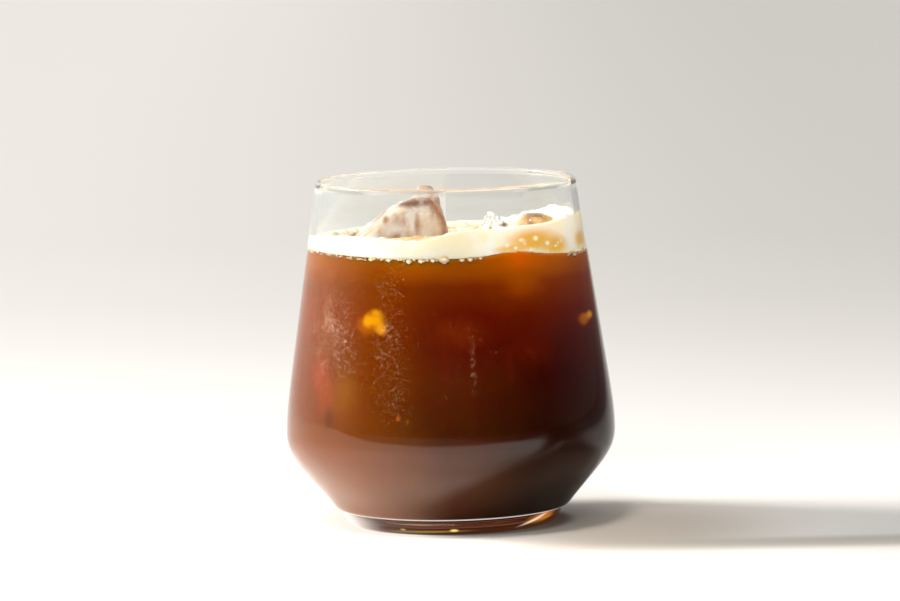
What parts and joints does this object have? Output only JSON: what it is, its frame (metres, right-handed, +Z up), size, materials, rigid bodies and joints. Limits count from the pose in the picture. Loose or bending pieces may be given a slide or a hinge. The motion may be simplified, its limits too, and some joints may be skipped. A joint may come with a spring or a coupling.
{
  "type": "iced espresso in a glass",
  "caption": "Iced espresso with a pale foam layer and lumps of ice, in a clear stemless tumbler that is widest low down.",
  "frame": {"origin": "centre of the tumbler's foot, on the plane it rests on", "axes": "+Z up along the tumbler's axis, -Y towards the viewer of the picture, +X to the viewer's right"},
  "size_m": [0.0882, 0.0883, 0.0925],
  "materials": {
    "glass": "clear, polished",
    "espresso": "dark red-brown coffee, amber where light comes through",
    "foam": "fine cream-coloured foam",
    "ice": "clear to milky wet ice"
  },
  "bodies": {
    "root": {"glass": "glass", "espresso": "espresso", "foam": "foam", "ice_tall": "ice", "ice_peak": "ice", "ice_low": "ice"}
  },
  "joints": []
}
